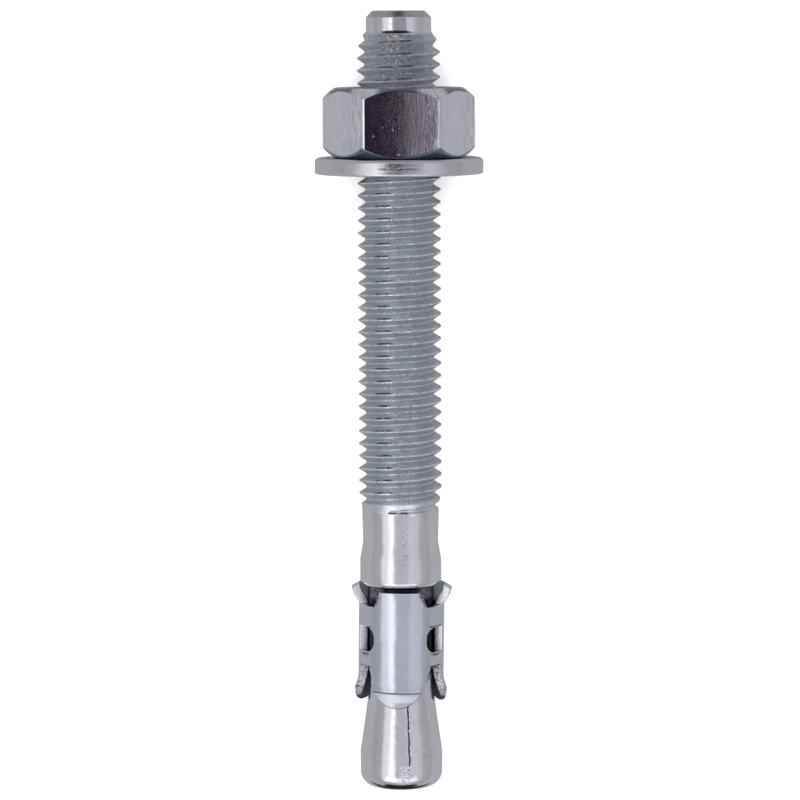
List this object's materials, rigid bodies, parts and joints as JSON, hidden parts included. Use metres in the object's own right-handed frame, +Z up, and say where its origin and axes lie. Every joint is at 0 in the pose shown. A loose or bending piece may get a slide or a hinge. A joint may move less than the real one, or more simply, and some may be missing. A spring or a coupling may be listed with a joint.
{
  "type": "wedge anchor",
  "caption": "Steel through-bolt anchor with a threaded stud, hexagon nut, plain washer and a rolled three-segment expansion clip round a waisted neck above its cone.",
  "frame": {"origin": "on the ground under the middle of the anchor's outline, as it lies on the washer's rim and the end of its cone", "axes": "+Y runs along the ground towards the threaded end, +Z is up, and the front segment of the clip faces up; the stud's own axis leans up from the ground by 4.07 degrees towards the threaded end"},
  "size_m": [0.0238, 0.1102, 0.0238],
  "materials": {
    "stud_zinc": "bright blue-white zinc plating on cold-formed steel, smooth, with fine tool lines",
    "clip_zinc": "bright blue-white zinc plating on rolled sheet steel, with punched edges",
    "washer_zinc": "bright zinc plating on a stamped washer",
    "nut_zinc": "bright zinc plating on a cold-formed nut, with draw lines on its flats"
  },
  "bodies": {
    "stud": {"stud": "stud_zinc"},
    "clip": {"expansion_clip": "clip_zinc"},
    "washer": {"washer": "washer_zinc"},
    "nut": {"hex_nut": "nut_zinc"}
  },
  "joints": [
    {"name": "clip_slide", "type": "slide", "parent": "stud", "child": "clip", "axis": [0, 0.9975, 0.071], "range_m": [-0.005, 0.0003]},
    {"name": "washer_travel", "type": "slide", "parent": "stud", "child": "washer", "axis": [0, 0.9975, 0.071], "range_m": [-0.04771, 0.01582]},
    {"name": "nut_spin", "type": "hinge", "parent": "washer", "child": "nut", "pos_m": [0, 0.03437, 0.01201], "axis": [0, 0.9975, 0.071], "range_deg": [-9810, 3250]}
  ],
  "couplings": [
    {"joint": "washer_travel", "follows": "nut_spin", "m_per_rad": 0.00027852}
  ]
}
